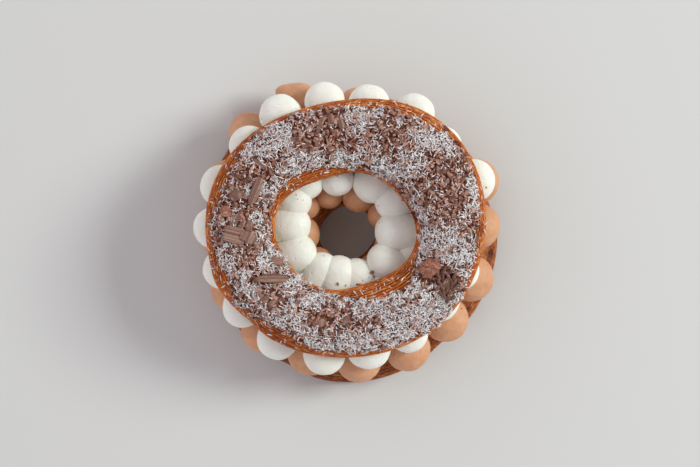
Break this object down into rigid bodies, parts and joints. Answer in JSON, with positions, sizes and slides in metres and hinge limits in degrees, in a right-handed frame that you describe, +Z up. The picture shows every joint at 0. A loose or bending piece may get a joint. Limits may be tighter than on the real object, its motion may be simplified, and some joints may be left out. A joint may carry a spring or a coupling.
{
  "type": "paris-brest pastry",
  "caption": "Ring of choux pastry cut across, filled with piped praline cream and whipped cream, its lid topped with coconut shreds and chocolate shavings.",
  "frame": {"origin": "on the surface that the pastry stands on, under the middle of its bounding box", "axes": "+Z up through the hole of the ring, from the base to the lid"},
  "size_m": [0.222, 0.2214, 0.0836],
  "materials": {
    "baked_choux": "golden-brown baked crust with a low sheen",
    "praline_cream": "smooth piped cream with a soft sheen",
    "whipped_cream": "smooth piped cream with a soft sheen",
    "topped_choux": "baked crust under pale coconut shreds and brown chocolate shavings",
    "milk_chocolate": "broken and shaved chocolate, dull with streaks"
  },
  "bodies": {
    "root": {"base": "baked_choux", "praline_cream": "praline_cream", "white_cream": "whipped_cream", "lid": "topped_choux", "chocolate_slab": "milk_chocolate", "chocolate_shaving": "milk_chocolate", "chocolate_spindle": "milk_chocolate", "chocolate_lump": "milk_chocolate", "chocolate_roll": "milk_chocolate", "chocolate_button": "milk_chocolate"}
  },
  "joints": []
}
